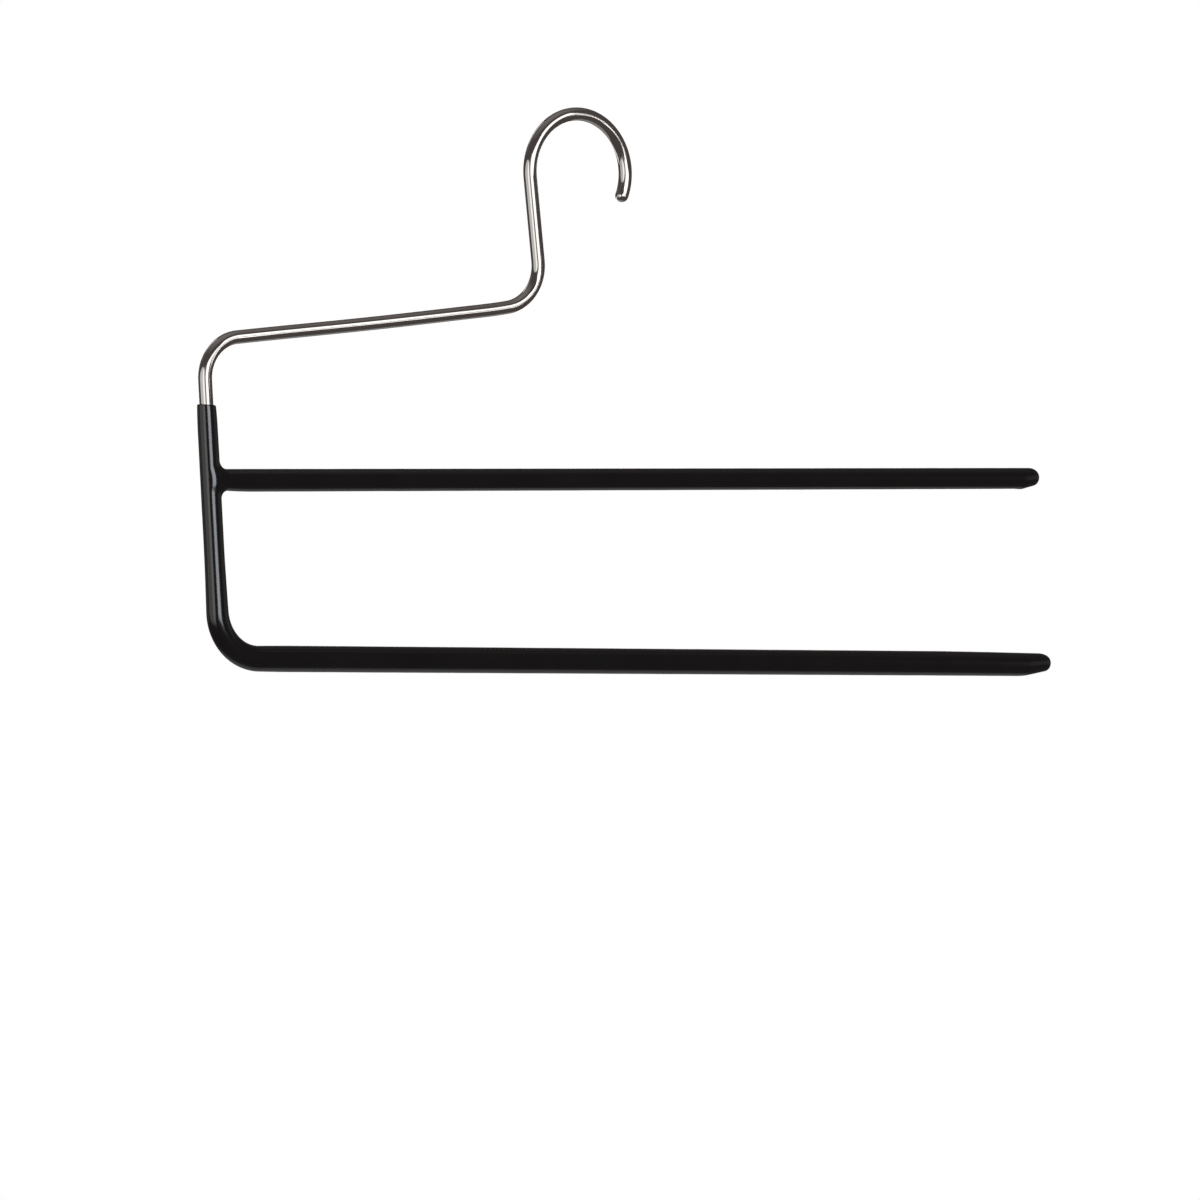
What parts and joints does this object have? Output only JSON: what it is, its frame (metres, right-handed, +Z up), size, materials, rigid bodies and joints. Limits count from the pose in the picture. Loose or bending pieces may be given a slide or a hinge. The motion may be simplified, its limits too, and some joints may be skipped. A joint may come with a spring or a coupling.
{
  "type": "double rod pants hanger",
  "caption": "Open-ended trouser hanger: a bent chrome wire with a rail hook, a sloping arm and a post, and parallel rods in a black dipped vinyl coat that grips the cloth.",
  "frame": {"origin": "inside of the hook's crown, where it bears on the rail", "axes": "+X along the upper rod towards the free tips, +Z up, the hanger lies in the XZ plane and +Y points away from its front"},
  "size_m": [0.3565, 0.0088, 0.1961],
  "materials": {
    "chrome_wire": "bright chrome plate on drawn steel wire",
    "weld_steel": "as welded, under the coat",
    "black_vinyl": "semi-gloss dip-moulded vinyl"
  },
  "bodies": {
    "root": {"frame_wire": "chrome_wire", "upper_rod_wire": "chrome_wire", "t_joint_weld": "weld_steel", "vinyl_coating": "black_vinyl"}
  },
  "joints": []
}
